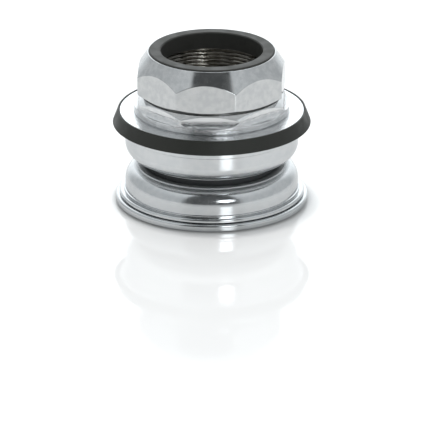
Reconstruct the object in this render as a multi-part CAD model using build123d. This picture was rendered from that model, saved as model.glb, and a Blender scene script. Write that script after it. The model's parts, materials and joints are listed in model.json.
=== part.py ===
from build123d import *

import os
from math import acos, cos, degrees, radians, sin, sqrt, tan

# A threaded bicycle headset for a 1-1/8 inch steerer and a 44 mm semi-integrated head tube.
# From the bottom up: crown race, lower balls and retainer, lower cup, upper cup, upper balls and
# retainer, adjusting race with its dust cover and seal, lock washer, and locknut with its stem seal.
# Millimetres, +Z up the steerer, origin at the centre of the crown race's underside.

# Steerer, stem and fork crown, as radial steps from the steerer
STEERER_D = 28.6
THREAD_CLEARANCE = 0.05
THREAD_LEAD_IN = 0.5
CROWN_SEAT_STEP = 0.7
STEERER_ROOM = 0.9

# Balls, and the grooves that they run in at 45 degrees
BALL_D = 3.969
BALL_COUNT = 20
BALL_CLEARANCE = 0.05
GROOVE_OPEN = 0.265
GROOVE_LAND_ANGLE = 25.0
GROOVE_HUB_ANGLE = 5.0

# Ball retainers
POCKET_CLEARANCE = 0.12
RETAINER_CLEARANCE = 0.35
RETAINER_RING_T = 0.8
FINGER_TIP = 0.6
FINGER_INSIDE = 0.4
FINGER_TAPER = 0.25
FINGER_SHOULDER = 1.0

# Both cups, which meet by the collars round their holes
CUP_COLLAR_W = 1.4
CUP_COLLAR_H = 1.0
CUP_LIP_H = 0.35
CUP_LIP_EDGE = 0.2
CUP_LIP_FILLET = 0.12
CUP_FLOOR_T = 2.15
CUP_WALL_T = 2.27
CUP_SHOULDER_R = 3.6
CUP_SHOULDER_INSET = 3.05
CUP_LAND_STEP = 0.3
CUP_FLANGE_T = 1.0
CUP_FLANGE_ROUND = 0.5
CUP_FLANGE_EDGE = 0.15

# Lower cup and upper cup, each with a step out from its wall to its land
LOWER_WALL_H = 2.2
LOWER_STEP_H = 0.1
LOWER_LAND_H = 0.45
LOWER_FLANGE_W = 1.15
UPPER_WALL_H = 2.85
UPPER_STEP_H = 0.2
UPPER_LAND_H = 1.4
UPPER_FLANGE_W = 1.3

# Crown race
CROWN_LAND_W = 0.5
CROWN_RIM_OVERHANG = 1.0
CROWN_RIM_H = 1.93
CROWN_RIM_EDGE = 0.6
CROWN_FOOT_EDGE = 0.5
LABYRINTH_GAP = 0.12

# Dust cover and its seal
COVER_GAP = 1.53
COVER_T = 1.2
COVER_EDGE = 0.2
COVER_FIT = 0.05
COVER_INSET = 0.15
SEAL_RIM_W = 0.35
SEAL_FLARE = 1.25
SEAL_PROUD = 0.1
SEAL_DROP = 3.2
SEAL_LIP_W = 0.55
SEAL_LEDGE_W = 1.2
SEAL_LEDGE_T = 0.65

# Octagons of the adjusting race and the locknut, milled from round bar
NUT_WALL_T = 3.7
OCTAGON_SIDES = 8
OCTAGON_CORNER_RISE = 1.42
LOCKNUT_TURN = -4.6
RACE_TURN = -1.7

# Adjusting race
RACE_FLANGE_MARGIN = 0.08
RACE_FLANGE_H = 1.65
RACE_FLANGE_EDGE = 0.1
RACE_FLANGE_FOOT = 0.3
RACE_OCTAGON_H = 2.9
RACE_HOLLOW_R = 1.4
RACE_TOP_INSET = 0.25
RACE_CHAMFER_ANGLE = 35.0

# Lock washer
WASHER_T = 0.5
WASHER_ROOM = 0.25
WASHER_RING_W = 2.6
TANG_W = 4.0
TANG_REACH = 1.3

# Locknut and its stem seal
LOCKNUT_H = 10.4
LOCKNUT_LIP_W = 0.28
LOCKNUT_CONE_ANGLE = 56.0
LOCKNUT_FOOT_INSET = 0.3
LOCKNUT_FOOT_ANGLE = 28.0
STEM_SEAL_OUT = 1.4
STEM_SEAL_IN = 1.55
STEM_SEAL_FIT = 0.05
STEM_SEAL_DEPTH = 4.0
STEM_SEAL_PROUD = 0.35
STEM_SEAL_EDGE = 0.25

# Radii, from the steerer outwards
steerer_r = STEERER_D / 2
thread_r = steerer_r + THREAD_CLEARANCE
cup_hole_r = steerer_r + STEERER_ROOM
cup_collar_r = cup_hole_r + CUP_COLLAR_W
crown_bore_r = steerer_r + CROWN_SEAT_STEP
land_r = crown_bore_r + CROWN_LAND_W
ball_r = BALL_D / 2
groove_r = ball_r + GROOVE_OPEN
groove_offset = (GROOVE_OPEN - BALL_CLEARANCE) / sqrt(2)
race_groove_r = land_r + groove_r * cos(radians(GROOVE_LAND_ANGLE))
hub_r = race_groove_r - groove_r * sin(radians(GROOVE_HUB_ANGLE))
pitch_r = race_groove_r - groove_offset
cup_groove_r = pitch_r - groove_offset
cup_inner_r = cup_groove_r + groove_r
cup_wall_r = cup_inner_r + CUP_WALL_T
cup_lip_r = cup_wall_r - CUP_SHOULDER_INSET
cup_land_r = cup_wall_r + CUP_LAND_STEP
crown_rim_r = cup_land_r + LOWER_FLANGE_W + CROWN_RIM_OVERHANG
cover_r = cup_land_r + UPPER_FLANGE_W - COVER_INSET
flat_r = steerer_r + NUT_WALL_T
bar_r = flat_r + OCTAGON_CORNER_RISE
race_flange_r = bar_r + RACE_FLANGE_MARGIN
stem_seal_r = steerer_r + STEM_SEAL_OUT

# Heights from the seat, the plane where the two cups meet, the same way up for both bearings
cup_floor_h = CUP_COLLAR_H + CUP_FLOOR_T
cup_lip_h = CUP_COLLAR_H + CUP_LIP_H
cup_shoulder_h = cup_lip_h + sqrt(CUP_SHOULDER_R**2 - (CUP_SHOULDER_R - CUP_SHOULDER_INSET) ** 2)
groove_h = cup_floor_h + groove_r
ball_h = groove_h - groove_offset
race_groove_h = ball_h - groove_offset
lower_flange_h = cup_shoulder_h + LOWER_WALL_H + LOWER_STEP_H + LOWER_LAND_H
crown_rim_h = lower_flange_h + CUP_FLANGE_T + LABYRINTH_GAP
crown_face_h = crown_rim_h + CROWN_RIM_H
upper_flange_h = cup_shoulder_h + UPPER_WALL_H + UPPER_STEP_H + UPPER_LAND_H
cover_h = upper_flange_h + CUP_FLANGE_T + COVER_GAP
race_flange_h = cover_h + COVER_T
race_octagon_h = race_flange_h + RACE_FLANGE_H
washer_h = race_octagon_h + RACE_OCTAGON_H
locknut_h = washer_h + WASHER_T
locknut_top_h = locknut_h + LOCKNUT_H
stem_seal_h = locknut_top_h - STEM_SEAL_DEPTH

# Placing of the pieces above the seat, and of those below it, which are drawn upside down
above_seat = Pos(0, 0, crown_face_h)
below_seat = above_seat * Rot(180, 0, 0)


def turned(*edges):
    """Solid of revolution about Z of a closed outline drawn as (radius, height)."""
    return revolve(Plane.XZ * make_face(edges), Axis.Z)


def turned_polygon(*points):
    """Solid of revolution about Z of a closed polygon of (radius, height) points."""
    return turned(*Polyline(*points, close=True).edges())


def rounded(part, radius, height, size):
    """The part with its circular edge at that radius and height rounded off."""
    rim = [
        edge
        for edge in part.edges().filter_by(GeomType.CIRCLE)
        if abs(edge.radius - radius) < 1e-4 and abs(edge.center().Z - height) < 1e-4
    ]
    return fillet(rim, size)


def octagon_bar(turn, low_h, high_h):
    """Sharp octagonal bar with one flat facing -Y before it is turned about Z."""
    outline = RegularPolygon(flat_r, OCTAGON_SIDES, major_radius=False)
    half_side = 180 / OCTAGON_SIDES
    bar = extrude(Rot(0, 0, half_side + turn) * outline, high_h - low_h)
    return Pos(0, 0, low_h) * bar


def octagon_cuts(turn, low_h, high_h):
    """What a round-cornered cutter takes off a bar to leave flats that run out in a hollow."""
    reach_r = 2 * bar_r
    hollow = CenterArc((flat_r + RACE_HOLLOW_R, low_h + RACE_HOLLOW_R), RACE_HOLLOW_R, 180, 90)
    lines = Polyline(
        (flat_r + RACE_HOLLOW_R, low_h),
        (reach_r, low_h),
        (reach_r, high_h),
        (flat_r, high_h),
        (flat_r, low_h + RACE_HOLLOW_R),
    )
    cut = extrude(Plane.XZ * make_face([hollow, *lines.edges()]), bar_r, both=True)
    return [Rot(0, 0, turn + 360 / OCTAGON_SIDES * side) * cut for side in range(OCTAGON_SIDES)]


def race_groove():
    """Ball groove of a cone, from its inner land up to its hub."""
    sweep = 90 - GROOVE_LAND_ANGLE - GROOVE_HUB_ANGLE
    return CenterArc((race_groove_r, race_groove_h), groove_r, 180 - GROOVE_LAND_ANGLE, -sweep)


def cup(wall_h, step_h, land_h, flange_w):
    """Steel cup that stands on its collar with its mouth up, and is pressed in by the land."""
    wall_end_h = cup_shoulder_h + wall_h
    flange_h = wall_end_h + step_h + land_h
    flange_r = cup_land_r + flange_w
    rim_h = flange_h + CUP_FLANGE_T
    turn = degrees(acos(1 - CUP_SHOULDER_INSET / CUP_SHOULDER_R))
    shoulder = CenterArc((cup_wall_r - CUP_SHOULDER_R, cup_shoulder_h), CUP_SHOULDER_R, 0, -turn)
    outside = Polyline(
        (cup_wall_r, cup_shoulder_h),
        (cup_wall_r, wall_end_h),
        (cup_land_r, wall_end_h + step_h),
        (cup_land_r, flange_h),
        (flange_r, flange_h),
        (flange_r, rim_h),
        (cup_inner_r, rim_h),
        (cup_inner_r, groove_h),
    )
    groove = CenterArc((cup_groove_r, groove_h), groove_r, 0, -90)
    floor = Polyline(
        (cup_groove_r, cup_floor_h),
        (cup_hole_r, cup_floor_h),
        (cup_hole_r, 0),
        (cup_collar_r, 0),
        (cup_collar_r, CUP_COLLAR_H),
        (cup_lip_r, CUP_COLLAR_H),
        (cup_lip_r, cup_lip_h),
    )
    part = turned(shoulder, *outside.edges(), groove, *floor.edges())
    part = rounded(part, cup_lip_r, CUP_COLLAR_H, CUP_LIP_EDGE)
    part = rounded(part, cup_lip_r, cup_lip_h, CUP_LIP_FILLET)
    part = rounded(part, flange_r, flange_h, CUP_FLANGE_ROUND)
    return rounded(part, flange_r, rim_h, CUP_FLANGE_EDGE)


def ball(number):
    """One ball of a ring."""
    return Rot(0, 0, 360 / BALL_COUNT * number) * Pos(pitch_r, 0, ball_h) * Sphere(ball_r)


def retainer():
    """Ring above the balls with a finger down between each two."""
    outer_r = cup_inner_r - RETAINER_CLEARANCE
    ring_r = hub_r + RETAINER_CLEARANCE
    finger_r = pitch_r - FINGER_INSIDE
    pocket_r = ball_r + POCKET_CLEARANCE
    ring_h = ball_h + pocket_r + RETAINER_RING_T
    shoulder_h = ball_h + FINGER_SHOULDER
    blank = turned_polygon(
        (finger_r, ball_h - FINGER_TIP),
        (outer_r - FINGER_TAPER, ball_h - FINGER_TIP),
        (outer_r, ball_h),
        (outer_r, ring_h),
        (ring_r, ring_h),
        (ring_r, shoulder_h + ring_r - finger_r),
        (finger_r, shoulder_h),
    )
    places = PolarLocations(pitch_r, BALL_COUNT)
    return blank - [Pos(0, 0, ball_h) * place * Sphere(pocket_r) for place in places]


def crown_race():
    """Cone for the fork crown with a rim under the lower cup's flange, drawn upside down."""
    groove = race_groove()
    land, hub = groove @ 0, groove @ 1
    lines = Polyline(
        hub,
        (hub_r, crown_rim_h),
        (crown_rim_r, crown_rim_h),
        (crown_rim_r, crown_face_h),
        (crown_bore_r, crown_face_h),
        (crown_bore_r, land.Y),
        land,
    )
    part = rounded(turned(groove, *lines.edges()), crown_rim_r, crown_rim_h, CROWN_RIM_EDGE)
    return rounded(part, crown_rim_r, crown_face_h, CROWN_FOOT_EDGE)


def adjusting_race():
    """Threaded cone with an octagon to turn it by, and a round flange over the dust cover."""
    groove = race_groove()
    land, hub = groove @ 0, groove @ 1
    lines = Polyline(
        hub,
        (hub_r, race_flange_h),
        (race_flange_r - RACE_FLANGE_FOOT, race_flange_h),
        (race_flange_r, race_flange_h + RACE_FLANGE_FOOT),
        (race_flange_r, race_octagon_h),
        (thread_r, race_octagon_h),
        (thread_r, land.Y),
        land,
    )
    base = turned(groove, *lines.edges())
    base = rounded(base, race_flange_r, race_octagon_h, RACE_FLANGE_EDGE)
    top_r = flat_r - RACE_TOP_INSET
    fall = (bar_r - top_r) * tan(radians(RACE_CHAMFER_ANGLE))
    bar = turned_polygon(
        (thread_r, race_octagon_h),
        (bar_r, race_octagon_h),
        (bar_r, washer_h - fall),
        (top_r, washer_h),
        (thread_r + THREAD_LEAD_IN, washer_h),
        (thread_r, washer_h - THREAD_LEAD_IN),
    )
    return base + bar - octagon_cuts(RACE_TURN, race_octagon_h, washer_h)


def dust_cover():
    """Flat polished disc under the race's flange."""
    return turned_polygon(
        (hub_r + COVER_FIT, cover_h),
        (cover_r, cover_h),
        (cover_r, race_flange_h - COVER_EDGE),
        (cover_r - COVER_EDGE, race_flange_h),
        (hub_r + COVER_FIT, race_flange_h),
    )


def dust_cover_seal():
    """Ring on the dust cover's rim, with a skirt that flares over the upper cup's flange."""
    rim_h = race_flange_h + SEAL_PROUD
    foot_h = race_flange_h - SEAL_DROP
    foot_r = cover_r + SEAL_RIM_W + SEAL_FLARE
    ledge_h = cover_h - SEAL_LEDGE_T
    skirt_r = foot_r - SEAL_LIP_W - SEAL_FLARE * (ledge_h - foot_h) / (rim_h - foot_h)
    return turned_polygon(
        (cover_r, rim_h),
        (cover_r + SEAL_RIM_W, rim_h),
        (foot_r, foot_h),
        (foot_r - SEAL_LIP_W, foot_h),
        (skirt_r, ledge_h),
        (cover_r - SEAL_LEDGE_W, ledge_h),
        (cover_r - SEAL_LEDGE_W, cover_h),
        (cover_r, cover_h),
    )


def lock_washer():
    """Thin washer with a tang that slides in the steerer's keyway."""
    inner_r = thread_r + WASHER_ROOM
    ring = Cylinder(inner_r + WASHER_RING_W, WASHER_T) - Cylinder(inner_r, WASHER_T)
    tang_end = steerer_r - TANG_REACH
    tang_root = inner_r + WASHER_RING_W / 2
    tang = Box(TANG_W, tang_root - tang_end, WASHER_T)
    tang = Pos(0, (tang_root + tang_end) / 2, 0) * tang
    return Pos(0, 0, washer_h + WASHER_T / 2) * (ring + tang)


def locknut():
    """Octagonal nut with a conical top, a thin lip round the stem seal and a chamfered foot."""
    seal_seat_r = stem_seal_r + STEM_SEAL_FIT
    lip_r = seal_seat_r + LOCKNUT_LIP_W
    cone_fall = (bar_r - lip_r) * tan(radians(LOCKNUT_CONE_ANGLE))
    foot_r = flat_r - LOCKNUT_FOOT_INSET
    foot_rise = (bar_r - foot_r) * tan(radians(LOCKNUT_FOOT_ANGLE))
    bar = turned_polygon(
        (thread_r + THREAD_LEAD_IN, locknut_h),
        (foot_r, locknut_h),
        (bar_r, locknut_h + foot_rise),
        (bar_r, locknut_top_h - cone_fall),
        (lip_r, locknut_top_h),
        (seal_seat_r, locknut_top_h),
        (seal_seat_r, stem_seal_h),
        (thread_r, stem_seal_h),
        (thread_r, locknut_h + THREAD_LEAD_IN),
    )
    return bar & octagon_bar(LOCKNUT_TURN, locknut_h, locknut_top_h)


def locknut_seal():
    """Ring set into the top of the locknut, round the stem."""
    bore_r = steerer_r - STEM_SEAL_IN
    top_h = locknut_top_h + STEM_SEAL_PROUD
    return turned_polygon(
        (bore_r, stem_seal_h),
        (stem_seal_r, stem_seal_h),
        (stem_seal_r, top_h - STEM_SEAL_EDGE),
        (stem_seal_r - STEM_SEAL_EDGE, top_h),
        (bore_r + STEM_SEAL_EDGE, top_h),
        (bore_r, top_h - STEM_SEAL_EDGE),
    )


nodes = {
    "crown_race": below_seat * crown_race(),
    "lower_retainer": below_seat * retainer(),
    "lower_cup": below_seat * cup(LOWER_WALL_H, LOWER_STEP_H, LOWER_LAND_H, LOWER_FLANGE_W),
    "upper_cup": above_seat * cup(UPPER_WALL_H, UPPER_STEP_H, UPPER_LAND_H, UPPER_FLANGE_W),
    "upper_retainer": above_seat * retainer(),
    "adjusting_race": above_seat * adjusting_race(),
    "dust_cover": above_seat * dust_cover(),
    "dust_cover_seal": above_seat * dust_cover_seal(),
    "lock_washer": above_seat * lock_washer(),
    "locknut": above_seat * locknut(),
    "locknut_seal": above_seat * locknut_seal(),
}
for number in range(BALL_COUNT):
    nodes[f"lower_ball_{number + 1:02d}"] = below_seat * ball(number)
    nodes[f"upper_ball_{number + 1:02d}"] = above_seat * ball(number)

os.makedirs("parts", exist_ok=True)
for name, solid in nodes.items():
    export_step(solid, f"parts/{name}.step")
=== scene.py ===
import json
from math import cos, pi, radians, sin

import bpy
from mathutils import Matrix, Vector


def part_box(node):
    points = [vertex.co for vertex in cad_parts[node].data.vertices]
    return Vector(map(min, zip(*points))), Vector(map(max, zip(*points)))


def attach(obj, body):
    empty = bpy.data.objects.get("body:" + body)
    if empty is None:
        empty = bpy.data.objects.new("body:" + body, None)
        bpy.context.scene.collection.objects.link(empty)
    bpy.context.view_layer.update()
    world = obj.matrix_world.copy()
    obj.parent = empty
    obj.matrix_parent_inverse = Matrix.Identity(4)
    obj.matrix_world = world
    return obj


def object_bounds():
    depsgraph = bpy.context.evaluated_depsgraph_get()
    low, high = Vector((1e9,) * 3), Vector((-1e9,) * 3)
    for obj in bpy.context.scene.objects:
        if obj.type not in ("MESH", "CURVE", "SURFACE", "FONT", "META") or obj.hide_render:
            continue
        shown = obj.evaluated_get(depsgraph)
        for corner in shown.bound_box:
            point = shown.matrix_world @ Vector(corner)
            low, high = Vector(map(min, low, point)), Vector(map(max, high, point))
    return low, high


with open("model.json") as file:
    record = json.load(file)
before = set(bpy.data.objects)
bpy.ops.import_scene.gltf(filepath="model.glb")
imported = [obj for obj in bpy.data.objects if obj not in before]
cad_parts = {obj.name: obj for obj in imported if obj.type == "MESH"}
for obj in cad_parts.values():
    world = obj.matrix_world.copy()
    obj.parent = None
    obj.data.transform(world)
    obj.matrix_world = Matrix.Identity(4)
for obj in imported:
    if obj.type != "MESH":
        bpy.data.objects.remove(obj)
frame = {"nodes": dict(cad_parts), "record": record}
cad_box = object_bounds()
scene = bpy.context.scene

# Lengths in metres, in the CAD frame
MM = 0.001
INCH = 25.4 * MM

# Thread of the locknut and the adjusting race, inside their plain CAD bores. Root and flank are shares
# of half a pitch, and the crest is the rest of it
THREADS_PER_INCH = 26
THREAD_PITCH = INCH / THREADS_PER_INCH
THREAD_ROOT_R = 14.34 * MM
THREAD_CREST_R = 13.78 * MM
THREAD_ROOT_SHARE = 0.12
THREAD_FLANK_SHARE = 0.72
THREAD_WALL = 0.005 * MM
THREAD_LEAD_IN = 0.5 * MM
THREAD_END_ROOM = 0.02 * MM
THREAD_SHARP_ANGLE = 50
THREAD_ROWS_PER_TURN = 14
THREAD_COLUMNS = 192

# Camera, with its lens in sensor widths
CAMERA_DISTANCE = 1.2
CAMERA_ELEVATION = 21.58
CAMERA_LENS = 11.047
CAMERA_AIM = Vector((0.81, 0.0, -4.81)) * MM
SENSOR_WIDTH = 36.0

# Surroundings: a white tent, bright behind the object, with a dark opening round the camera and one
# soft light in the opening. Directions in degrees, azimuth from the camera to the right
SIDE_LIGHT = 0.67
TOP_LIGHT = 0.89
BACK_LIGHT = 2.0
OPENING_LIGHT = 0.113
SOFT_LIGHT = 8.0
BACK_AZIMUTH = (128, 172)
TOP_ELEVATION = (25, 60)
OPENING_AZIMUTH = (-38, 38)
OPENING_ELEVATION = (-12, 74)
OPENING_EDGE = 4.0
SOFT_AZIMUTH = (12, 27)
SOFT_ELEVATION = (17, 31)
SOFT_EDGE = OPENING_EDGE / 2
TENT_TINT = (0.955, 1.0, 1.025)

# Lamp over the object, a little behind and to the left, which throws the shadow on the floor
LAMP_POWER = 3.8
LAMP_SIZE = 0.16
LAMP_PLACE = Vector((-0.07, 0.09, 1.0))

# Floor, with a painted contact shadow: darker where the object stands close over it
FLOOR_HALF = 12.0
FLOOR_DROP = 0.01 * MM
FLOOR_COLOUR = (0.8, 0.79, 0.78)
# Colour of the painted contact shadow
FLOOR_PAINTED_SHADOW_COLOUR = (0.42, 0.42, 0.42)
FLOOR_CONTACT_REACH = 2.4 * MM
FLOOR_CONTACT_SPAN = (0.5, 0.95)
FLOOR_CONTACT_SAMPLES = 12
FLOOR_ROUGHNESS = (0.05, 0.07)
FLOOR_CLOUD_SCALE = 40.0
FLOOR_CLOUD_DETAIL = 3.0
FLOOR_IOR = 1.45
FLOOR_LIFT = 0.07
FLOOR_LIFT_COLOUR = (1, 1, 1)

# Finish of the metals
CLOUD_SCALE = 600.0
CLOUD_DETAIL = 4.0
CLOUD_SPAN = (0.35, 0.65)
LATHE_SCALE = 3200.0
LATHE_DETAIL = 3.0
LATHE_BREAK = 0.17
GRAIN_SCALE = 2600.0
GRAIN_DETAIL = 2.0
EDGE_SAMPLES = 8
EDGE_TINT = (0.78, 0.78, 0.78)
SATIN_ROUGHNESS = 0.5
# Painted shade colour, dark and not metal, for the insides of the cups and the recess between them
PAINTED_SHADE_COLOUR = (0.05, 0.053, 0.055)
CHROME_DARK = (0.555, 0.57, 0.58)
CHROME_LIGHT = (0.595, 0.605, 0.61)
PLATE_DARK = (0.64, 0.65, 0.655)
PLATE_LIGHT = (0.70, 0.705, 0.71)
COVER_DARK = (0.76, 0.77, 0.775)
COVER_LIGHT = (0.82, 0.825, 0.83)

# Insides of the cups and the crown race: painted shade, dark and not metal, that fades out outwards and
# darkens the recess between the cups, then plate that is dull
CUP_PAINTED_SHADE_R = (16.8 * MM, 18.9 * MM)
CUP_SATIN_R = (18.9 * MM, 20.4 * MM)

# Octagon of the adjusting race, milled above this height
RACE_MILLED_Z = 27.05 * MM
RACE_MILLED_FADE = 0.15 * MM
RACE_MILLED_RELIEF = 0.02
RACE_MILLED_ROUGHNESS = 0.14

# Finish of the seals
SEAL_CLOUD_SCALE = 300.0
SEAL_CLOUD_DETAIL = 4.0
SEAL_GRAIN_DETAIL = 3.0
SEAL_GRAIN_DEPTH = 0.02 * MM
SEAL_EDGE_SAMPLES = 6
SEAL_SPECULAR = 0.35

# Span of the noise over which the roughness of the seals and the floor changes
ROUGHNESS_SPAN = (0.3, 0.7)


class Tree:
    """A node tree that is filled by short calls."""

    def __init__(self, tree):
        self.tree = tree
        self.tree.nodes.clear()

    def add(self, kind, settings=None, **inputs):
        """A new node with its settings, and its inputs set to values or linked from other sockets."""
        node = self.tree.nodes.new(kind)
        for name, value in (settings or {}).items():
            setattr(node, name, value)
        for name, value in inputs.items():
            self.set(node.inputs[name.replace("_", " ")], value)
        return node

    def set(self, socket, value):
        """Links a socket from another one, or gives it a value."""
        if isinstance(value, bpy.types.NodeSocket):
            self.tree.links.new(value, socket)
        elif socket.type == "RGBA":
            socket.default_value = (*value, 1)
        else:
            socket.default_value = value

    def math(self, operation, *values):
        """The result of a calculation with numbers or sockets."""
        node = self.add("ShaderNodeMath", {"operation": operation})
        for socket, value in zip(node.inputs, values):
            self.set(socket, value)
        return node.outputs[0]

    def ramp(self, value, from_low, from_high, to_low, to_high):
        """Goes smoothly from to_low to to_high while value goes from from_low to from_high."""
        node = self.add("ShaderNodeMapRange", {"interpolation_type": "SMOOTHSTEP"})
        for socket, number in zip(node.inputs, (value, from_low, from_high, to_low, to_high)):
            self.set(socket, number)
        return node.outputs["Result"]

    def band(self, value, low, high, soft):
        """1 between low and high, falling to 0 outside over the soft width."""
        rise = self.ramp(value, low - soft, low + soft, 0.0, 1.0)
        fall = self.ramp(value, high - soft, high + soft, 1.0, 0.0)
        return self.math("MULTIPLY", rise, fall)

    def mix(self, factor, low, high):
        """A colour between low and high."""
        node = self.add("ShaderNodeMix", {"data_type": "RGBA"}, Factor=factor, A=low, B=high)
        return node.outputs["Result"]

    def place(self):
        """The place on the object, in its own frame."""
        return self.add("ShaderNodeTexCoord").outputs["Object"]

    def noise(self, place, scale, detail):
        """A cloudy pattern from 0 to 1."""
        return self.add("ShaderNodeTexNoise", Vector=place, Scale=scale, Detail=detail).outputs["Fac"]


def new_material(name):
    """An empty material with its node tree and output."""
    material = bpy.data.materials.new(name)
    material.use_nodes = True
    tree = Tree(material.node_tree)
    output = tree.add("ShaderNodeOutputMaterial")
    return material, tree, output


def new_object(name, data):
    """An object in the scene, made from its data."""
    thing = bpy.data.objects.new(name, data)
    scene.collection.objects.link(thing)
    return thing


def lathe_marks(tree, place):
    """Fine broken rings round the axis, as a lathe leaves them, with the radius and height."""
    x, y, z = tree.add("ShaderNodeSeparateXYZ", Vector=place).outputs
    radius = tree.math("SQRT", tree.math("ADD", tree.math("MULTIPLY", x, x), tree.math("MULTIPLY", y, y)))
    along = tree.math("MULTIPLY", tree.math("ADD", x, y), LATHE_BREAK)
    rings = tree.add("ShaderNodeCombineXYZ", X=radius, Y=z, Z=along)
    return tree.noise(rings.outputs[0], LATHE_SCALE, LATHE_DETAIL), radius, z


def metal(name, dark, light, rough, edge, marks, grain, painted_shade_r=None, satin_r=None, milled_z=None):
    """Metal with uneven polish, softened edges and lathe marks.

    It has painted shade, dark and not metal, within its shade radii, and is dull within satin_r. Above
    milled_z the marks end and the polish is finer.
    """
    material, tree, output = new_material(name)
    place = tree.place()
    cloud = tree.ramp(tree.noise(place, CLOUD_SCALE, CLOUD_DETAIL), *CLOUD_SPAN, 0.0, 1.0)
    rings, radius, height = lathe_marks(tree, place)
    speckle = tree.noise(place, GRAIN_SCALE, GRAIN_DETAIL)
    bevel = tree.add("ShaderNodeBevel", {"samples": EDGE_SAMPLES}, Radius=edge)
    turned = tree.add("ShaderNodeBump", Strength=1.0, Distance=marks, Height=rings,
                      Normal=bevel.outputs[0])
    bump = tree.add("ShaderNodeBump", Strength=1.0, Distance=grain, Height=speckle,
                    Normal=turned.outputs[0])
    shader = tree.add("ShaderNodeBsdfPrincipled", Metallic=1.0, Specular_Tint=EDGE_TINT,
                      Normal=bump.outputs[0])
    colour = tree.mix(cloud, dark, light)
    polish = tree.ramp(cloud, 0.0, 1.0, *rough)
    if milled_z:
        span = (milled_z - RACE_MILLED_FADE, milled_z + RACE_MILLED_FADE)
        for relief in (turned, bump):
            tree.set(relief.inputs["Strength"], tree.ramp(height, *span, 1.0, RACE_MILLED_RELIEF))
        polish = tree.ramp(height, *span, polish, RACE_MILLED_ROUGHNESS)
    # Painted shade: inside the shade radii the colour turns to a dark non-metal, which darkens the recess
    # between the cups
    if painted_shade_r:
        outside_shade = tree.ramp(radius, *painted_shade_r, 0.0, 1.0)
        colour = tree.mix(outside_shade, PAINTED_SHADE_COLOUR, colour)
        tree.set(shader.inputs["Metallic"], outside_shade)
    if satin_r:
        polish = tree.ramp(radius, *satin_r, SATIN_ROUGHNESS, polish)
    tree.set(shader.inputs["Base Color"], colour)
    tree.set(shader.inputs["Roughness"], polish)
    tree.set(output.inputs["Surface"], shader.outputs[0])
    return material


def black(name, dark, light, rough, edge, grain, grain_scale):
    """Black rubber or plastic with a fine moulded grain."""
    material, tree, output = new_material(name)
    place = tree.place()
    cloud = tree.noise(place, SEAL_CLOUD_SCALE, SEAL_CLOUD_DETAIL)
    speckle = tree.noise(place, grain_scale, SEAL_GRAIN_DETAIL)
    bevel = tree.add("ShaderNodeBevel", {"samples": SEAL_EDGE_SAMPLES}, Radius=edge)
    bump = tree.add("ShaderNodeBump", Strength=grain, Distance=SEAL_GRAIN_DEPTH, Height=speckle,
                    Normal=bevel.outputs[0])
    shader = tree.add(
        "ShaderNodeBsdfPrincipled",
        Base_Color=tree.mix(cloud, dark, light),
        Roughness=tree.ramp(cloud, *ROUGHNESS_SPAN, *rough),
        Specular_IOR_Level=SEAL_SPECULAR,
        Normal=bump.outputs[0],
    )
    tree.set(output.inputs["Surface"], shader.outputs[0])
    return material


# Materials
# The cups and the crown race carry painted shade on their insides and in the recess between the cups
cup_chrome = metal("cup_chrome", CHROME_DARK, CHROME_LIGHT, rough=(0.14, 0.19), edge=0.08 * MM,
                   marks=0.0005 * MM, grain=0.0003 * MM, painted_shade_r=CUP_PAINTED_SHADE_R, satin_r=CUP_SATIN_R)
race_plate = metal("race_plate", PLATE_DARK, PLATE_LIGHT, rough=(0.16, 0.22), edge=0.16 * MM,
                   marks=0.14 * MM, grain=0.01 * MM, milled_z=RACE_MILLED_Z)
cover_plate = metal("cover_plate", COVER_DARK, COVER_LIGHT, rough=(0.18, 0.24), edge=0.06 * MM,
                    marks=0.07 * MM, grain=0.006 * MM)
nut_chrome = metal("nut_chrome", dark=(0.505, 0.515, 0.52), light=(0.58, 0.585, 0.585),
                   rough=(0.08, 0.14), edge=0.20 * MM, marks=0.0004 * MM, grain=0.0004 * MM)
thread_steel = metal("thread_steel", dark=(0.44, 0.42, 0.38), light=(0.52, 0.50, 0.46),
                     rough=(0.19, 0.27), edge=0.03 * MM, marks=0.0004 * MM, grain=0.0008 * MM)
ball_steel = metal("ball_steel", dark=(0.56, 0.56, 0.57), light=(0.62, 0.62, 0.63),
                   rough=(0.03, 0.06), edge=0.02 * MM, marks=0.0001 * MM, grain=0.0001 * MM)
cage_steel = metal("cage_steel", dark=(0.32, 0.29, 0.25), light=(0.42, 0.39, 0.34),
                   rough=(0.25, 0.4), edge=0.08 * MM, marks=0.0012 * MM, grain=0.0012 * MM)
washer_steel = metal("washer_steel", dark=(0.12, 0.12, 0.12), light=(0.20, 0.20, 0.19),
                     rough=(0.3, 0.45), edge=0.06 * MM, marks=0.001 * MM, grain=0.0012 * MM)
seal_rubber = black("seal_rubber", dark=(0.018, 0.019, 0.016), light=(0.026, 0.027, 0.023),
                    rough=(0.45, 0.6), edge=0.15 * MM, grain=0.25, grain_scale=1800.0)
seal_plastic = black("seal_plastic", dark=(0.030, 0.030, 0.027), light=(0.040, 0.040, 0.036),
                     rough=(0.5, 0.65), edge=0.10 * MM, grain=0.2, grain_scale=2400.0)

slot_materials = {
    "seal_rubber": seal_rubber,
    "stem_seal_plastic": seal_plastic,
    "washer_steel": washer_steel,
    "retainer_steel": cage_steel,
    "ball_steel": ball_steel,
}
chrome_materials = {
    "upper_cup": cup_chrome,
    "lower_cup": cup_chrome,
    "crown_race": cup_chrome,
    "adjusting_race": race_plate,
    "dust_cover": cover_plate,
    "locknut": nut_chrome,
}
for entry in frame["record"]["subparts"]:
    name = entry["node"]
    node = frame["nodes"][name]
    node.data.materials.clear()
    node.data.materials.append(chrome_materials.get(name) or slot_materials[entry["material_slot"]])


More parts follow.
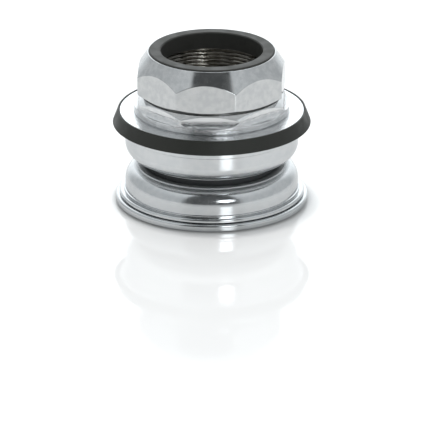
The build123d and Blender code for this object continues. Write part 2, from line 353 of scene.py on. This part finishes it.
# Threads
def thread_radius(z, turn, run_out):
    """Radius of the thread's surface at a height and a share of a turn."""
    phase = (z / THREAD_PITCH - turn) % 1.0
    ridge = 1 - abs(2 * phase - 1)
    crest = min(max((ridge - THREAD_ROOT_SHARE) / THREAD_FLANK_SHARE, 0.0), 1.0)
    return THREAD_ROOT_R - (THREAD_ROOT_R - THREAD_CREST_R) * crest * run_out


def thread_sleeve(name, body, bottom, top):
    """Closed sleeve with a right-hand thread inside, which runs out into a lead-in at each end."""
    low_z = bottom + THREAD_END_ROOM
    high_z = top - THREAD_END_ROOM
    turns = [column / THREAD_COLUMNS for column in range(THREAD_COLUMNS)]
    rows = int((high_z - low_z) / THREAD_PITCH * THREAD_ROWS_PER_TURN)
    rings = []
    for row in range(rows + 1):
        z = low_z + (high_z - low_z) * row / rows
        run_out = min(1.0, (z - low_z) / THREAD_LEAD_IN, (high_z - z) / THREAD_LEAD_IN)
        rings.append([(thread_radius(z, turn, run_out), turn, z) for turn in turns])
    for z in (high_z, low_z):
        rings.append([(THREAD_ROOT_R + THREAD_WALL, turn, z) for turn in turns])
    verts = [(r * cos(2 * pi * turn), r * sin(2 * pi * turn), z) for ring in rings for r, turn, z in ring]
    faces = []
    for row in range(len(rings)):
        here = row * THREAD_COLUMNS
        above = (row + 1) % len(rings) * THREAD_COLUMNS
        for column in range(THREAD_COLUMNS):
            beside = (column + 1) % THREAD_COLUMNS
            faces.append((here + column, above + column, above + beside, here + beside))
    mesh = bpy.data.meshes.new(name)
    mesh.from_pydata(verts, [], faces)
    mesh.polygons.foreach_set("use_smooth", [True] * len(mesh.polygons))
    mesh.set_sharp_from_angle(angle=radians(THREAD_SHARP_ANGLE))
    mesh.materials.append(thread_steel)
    sleeve = new_object(name, mesh)
    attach(sleeve, body)


locknut_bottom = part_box("locknut")[0].z
stem_seal_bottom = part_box("locknut_seal")[0].z
race_low, race_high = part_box("adjusting_race")
thread_sleeve("locknut_thread", "locknut", locknut_bottom, stem_seal_bottom)
thread_sleeve("race_thread", "upper_race", race_low.z, race_high.z)


# Floor
def floor_material():
    """Glossy white board that takes the shadow, lifted a little where the camera or the metal sees it."""
    material, tree, output = new_material("white_board")
    path = tree.add("ShaderNodeLightPath").outputs
    mirrored = tree.math("MAXIMUM", path["Is Glossy Ray"], path["Is Transmission Ray"])
    seen = tree.math("MAXIMUM", path["Is Camera Ray"], mirrored)
    # Painted contact shadow: the floor's colour darkens where the object stands close over it
    nearness = tree.add("ShaderNodeAmbientOcclusion", {"samples": FLOOR_CONTACT_SAMPLES},
                        Distance=FLOOR_CONTACT_REACH)
    painted_shadow = tree.ramp(nearness.outputs["AO"], *FLOOR_CONTACT_SPAN, 0.0, 1.0)
    cloud = tree.noise(tree.place(), FLOOR_CLOUD_SCALE, FLOOR_CLOUD_DETAIL)
    shader = tree.add(
        "ShaderNodeBsdfPrincipled",
        Base_Color=tree.mix(painted_shadow, FLOOR_PAINTED_SHADOW_COLOUR, FLOOR_COLOUR),
        Roughness=tree.ramp(cloud, *ROUGHNESS_SPAN, *FLOOR_ROUGHNESS),
        IOR=FLOOR_IOR,
        Emission_Color=FLOOR_LIFT_COLOUR,
        Emission_Strength=tree.math("MULTIPLY", seen, FLOOR_LIFT),
    )
    tree.set(output.inputs["Surface"], shader.outputs[0])
    return material


floor_z = cad_box[0].z - FLOOR_DROP
floor_corners = [(-1, -1), (1, -1), (1, 1), (-1, 1)]
floor_mesh = bpy.data.meshes.new("floor")
floor_mesh.from_pydata([(x * FLOOR_HALF, y * FLOOR_HALF, floor_z) for x, y in floor_corners],
                       [], [(0, 1, 2, 3)])
floor_mesh.materials.append(floor_material())
floor = new_object("floor", floor_mesh)


# World
def window(tree, azimuth, elevation, across, up, soft):
    """1 within a window of the tent, with soft edges."""
    return tree.math("MULTIPLY", tree.band(azimuth, *across, soft), tree.band(elevation, *up, soft))


world = bpy.data.worlds.new("tent")
scene.world = world
world.use_nodes = True
sky = Tree(world.node_tree)
direction = sky.add("ShaderNodeSeparateXYZ", Vector=sky.add("ShaderNodeTexCoord").outputs["Generated"])
to_camera = sky.math("MULTIPLY", direction.outputs["Y"], -1.0)
azimuth = sky.math("DEGREES", sky.math("ARCTAN2", direction.outputs["X"], to_camera))
elevation = sky.math("DEGREES", sky.math("ARCSINE", direction.outputs["Z"]))
opening = window(sky, azimuth, elevation, OPENING_AZIMUTH, OPENING_ELEVATION, OPENING_EDGE)
soft_box = window(sky, azimuth, elevation, SOFT_AZIMUTH, SOFT_ELEVATION, SOFT_EDGE)
walls = sky.ramp(elevation, *TOP_ELEVATION, SIDE_LIGHT, TOP_LIGHT)
tent = sky.ramp(sky.math("ABSOLUTE", azimuth), *BACK_AZIMUTH, walls, BACK_LIGHT)
closed = sky.math("SUBTRACT", 1.0, opening)
dimmed = sky.math("MULTIPLY_ADD", tent, closed, sky.math("MULTIPLY", opening, OPENING_LIGHT))
light = sky.math("MULTIPLY_ADD", soft_box, SOFT_LIGHT, dimmed)
background = sky.add("ShaderNodeBackground", Color=TENT_TINT, Strength=light)
sky.add("ShaderNodeOutputWorld", Surface=background.outputs[0])

# Lamp
lamp_data = bpy.data.lights.new("lamp", "AREA")
lamp_data.shape = "DISK"
lamp_data.size = LAMP_SIZE
lamp_data.energy = LAMP_POWER
lamp = new_object("lamp", lamp_data)
lamp.location = LAMP_PLACE
lamp.rotation_euler = LAMP_PLACE.to_track_quat("Z", "Y").to_euler()
lamp.visible_glossy = False

# Camera
camera_data = bpy.data.cameras.new("camera")
camera_data.sensor_width = SENSOR_WIDTH
camera_data.lens = CAMERA_LENS * SENSOR_WIDTH
camera = new_object("camera", camera_data)
lift = radians(CAMERA_ELEVATION)
camera.location = CAMERA_AIM + CAMERA_DISTANCE * Vector((0, -cos(lift), sin(lift)))
camera.rotation_euler = (CAMERA_AIM - camera.location).to_track_quat("-Z", "Y").to_euler()
scene.camera = camera
scene.view_settings.view_transform = "Standard"
